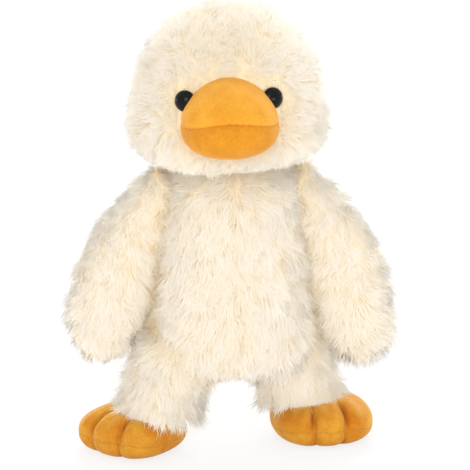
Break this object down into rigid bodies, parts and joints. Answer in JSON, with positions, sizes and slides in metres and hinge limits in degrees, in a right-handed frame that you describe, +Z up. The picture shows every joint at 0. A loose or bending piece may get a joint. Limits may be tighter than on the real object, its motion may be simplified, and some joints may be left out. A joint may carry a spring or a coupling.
{
  "type": "plush duck",
  "caption": "Stuffed plush duck that squeaks: sewn pile skins over fibre wads, velour bill and flat velour feet, hanging wings, and a head that nods and turns.",
  "frame": {"origin": "middle of the duck's footprint box, on the ground", "axes": "+Z up, the duck faces -Y, and its own left side is +X"},
  "size_m": [0.1904, 0.1336, 0.272],
  "materials": {
    "cream_plush": "long soft cream pile, a little yellower at its roots",
    "orange_velour": "short orange-yellow velour nap",
    "black_eye": "glossy black",
    "fibre": "loose white polyester fibre",
    "clear_plastic": "milky moulded plastic"
  },
  "bodies": {
    "torso": {"body_front_left_panel": "cream_plush", "body_front_right_panel": "cream_plush", "body_back_left_panel": "cream_plush", "body_back_right_panel": "cream_plush", "body_stuffing_lower": "fibre", "body_stuffing_upper": "fibre", "squeaker_base": "clear_plastic", "squeaker_reed": "clear_plastic", "squeaker_bellows": "clear_plastic"},
    "squeaker_plunger": {"squeaker_cap": "clear_plastic"},
    "neck": {"neck_stuffing": "fibre"},
    "head": {"head_crown_gusset": "cream_plush", "head_cheek_left_panel": "cream_plush", "head_cheek_right_panel": "cream_plush", "head_stuffing": "fibre", "bill_upper_panel": "orange_velour", "bill_lower_panel": "orange_velour", "bill_stuffing": "fibre", "eye_left": "black_eye", "eye_right": "black_eye", "eye_washer_left": "clear_plastic", "eye_washer_right": "clear_plastic"},
    "wing_left": {"wing_left_front_panel": "cream_plush", "wing_left_back_panel": "cream_plush", "wing_left_stuffing": "fibre"},
    "wing_right": {"wing_right_front_panel": "cream_plush", "wing_right_back_panel": "cream_plush", "wing_right_stuffing": "fibre"},
    "leg_left": {"leg_left_skin": "cream_plush", "leg_left_stuffing": "fibre"},
    "leg_right": {"leg_right_skin": "cream_plush", "leg_right_stuffing": "fibre"},
    "foot_left": {"foot_left_top_panel": "orange_velour", "foot_left_sole": "orange_velour", "foot_left_stuffing": "fibre"},
    "foot_right": {"foot_right_top_panel": "orange_velour", "foot_right_sole": "orange_velour", "foot_right_stuffing": "fibre"}
  },
  "joints": [
    {"name": "head_nod", "type": "hinge", "parent": "torso", "child": "neck", "pos_m": [0, 0.01783, 0.145], "axis": [1, 0, 0], "range_deg": [-15, 18], "stiffness_Nm_per_rad": 0.6},
    {"name": "head_turn", "type": "hinge", "parent": "neck", "child": "head", "pos_m": [0, 0.01783, 0.145], "axis": [0, 0, 1], "range_deg": [-30, 30], "stiffness_Nm_per_rad": 0.3},
    {"name": "wing_left_lift", "type": "hinge", "parent": "torso", "child": "wing_left", "pos_m": [0.03984, 0.01783, 0.163], "axis": [0, -1, 0], "range_deg": [0, 65]},
    {"name": "wing_right_lift", "type": "hinge", "parent": "torso", "child": "wing_right", "pos_m": [-0.03984, 0.01783, 0.163], "axis": [0, 1, 0], "range_deg": [0, 65]},
    {"name": "leg_left_swing", "type": "hinge", "parent": "torso", "child": "leg_left", "pos_m": [0.033, 0.02683, 0.058], "axis": [-1, 0, 0], "range_deg": [-20, 35], "stiffness_Nm_per_rad": 2},
    {"name": "leg_right_swing", "type": "hinge", "parent": "torso", "child": "leg_right", "pos_m": [-0.033, 0.00883, 0.058], "axis": [-1, 0, 0], "range_deg": [-20, 35], "stiffness_Nm_per_rad": 2},
    {"name": "foot_left_turn", "type": "hinge", "parent": "leg_left", "child": "foot_left", "pos_m": [0.045, 0.02683, 0.0215], "axis": [0, 0, 1], "range_deg": [-35, 35], "stiffness_Nm_per_rad": 0.2},
    {"name": "foot_right_turn", "type": "hinge", "parent": "leg_right", "child": "foot_right", "pos_m": [-0.045, 0.00883, 0.0215], "axis": [0, 0, 1], "range_deg": [-35, 35], "stiffness_Nm_per_rad": 0.2},
    {"name": "squeaker_squeeze", "type": "slide", "parent": "torso", "child": "squeaker_plunger", "axis": [0, 0, -1], "range_m": [0, 0.008], "stiffness_N_per_m": 300, "deforming": ["squeaker_bellows"]}
  ]
}
